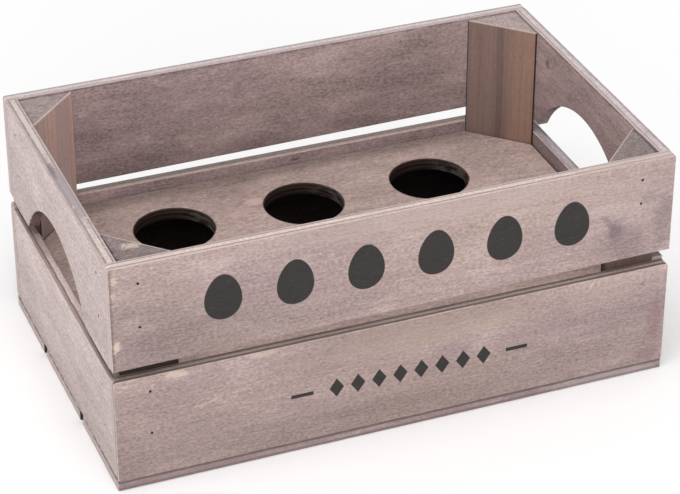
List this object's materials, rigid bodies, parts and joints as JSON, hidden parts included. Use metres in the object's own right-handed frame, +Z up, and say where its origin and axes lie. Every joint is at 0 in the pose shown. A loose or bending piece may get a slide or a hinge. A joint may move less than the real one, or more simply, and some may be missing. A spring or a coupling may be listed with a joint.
{
  "type": "egg holder",
  "caption": "Small two-tier plywood crate for eggs, with triangular corner posts, arched end handles, a slatted base and a lift-out tray of round egg holes.",
  "frame": {"origin": "middle of the crate's outline on the surface that it stands on", "axes": "+X along the crate's length to the right, +Y from front to rear, +Z up"},
  "size_m": [0.25, 0.155, 0.1078],
  "materials": {
    "board_ply": "grey-washed plywood, matt",
    "post_wood": "grey-washed solid wood, matt",
    "tray_ply": "grey-washed plywood, matt, holes charred dark",
    "base_ply": "grey-washed plywood, matt",
    "cleat_wood": "plain solid wood, matt",
    "brad_steel": "dull steel, darkened"
  },
  "bodies": {
    "crate": {"post_front_left": "post_wood", "post_front_right": "post_wood", "post_rear_left": "post_wood", "post_rear_right": "post_wood", "upper_front_board": "board_ply", "upper_rear_board": "board_ply", "upper_left_board": "board_ply", "upper_right_board": "board_ply", "lower_front_board": "board_ply", "lower_rear_board": "board_ply", "lower_left_board": "board_ply", "lower_right_board": "board_ply", "base_slat_front": "base_ply", "base_slat_middle": "base_ply", "base_slat_rear": "base_ply", "cleat_front": "cleat_wood", "cleat_rear": "cleat_wood", "brads_upper_front": "brad_steel", "brads_upper_rear": "brad_steel", "brads_upper_left": "brad_steel", "brads_upper_right": "brad_steel", "brads_lower_front": "brad_steel", "brads_lower_rear": "brad_steel", "brads_lower_left": "brad_steel", "brads_lower_right": "brad_steel", "brads_base_front": "brad_steel", "brads_base_middle": "brad_steel", "brads_base_rear": "brad_steel"},
    "tray": {"egg_tray": "tray_ply"}
  },
  "joints": [
    {"name": "tray_lift", "type": "slide", "parent": "crate", "child": "tray", "axis": [0, 0, 1], "range_m": [0, 0.075]}
  ]
}
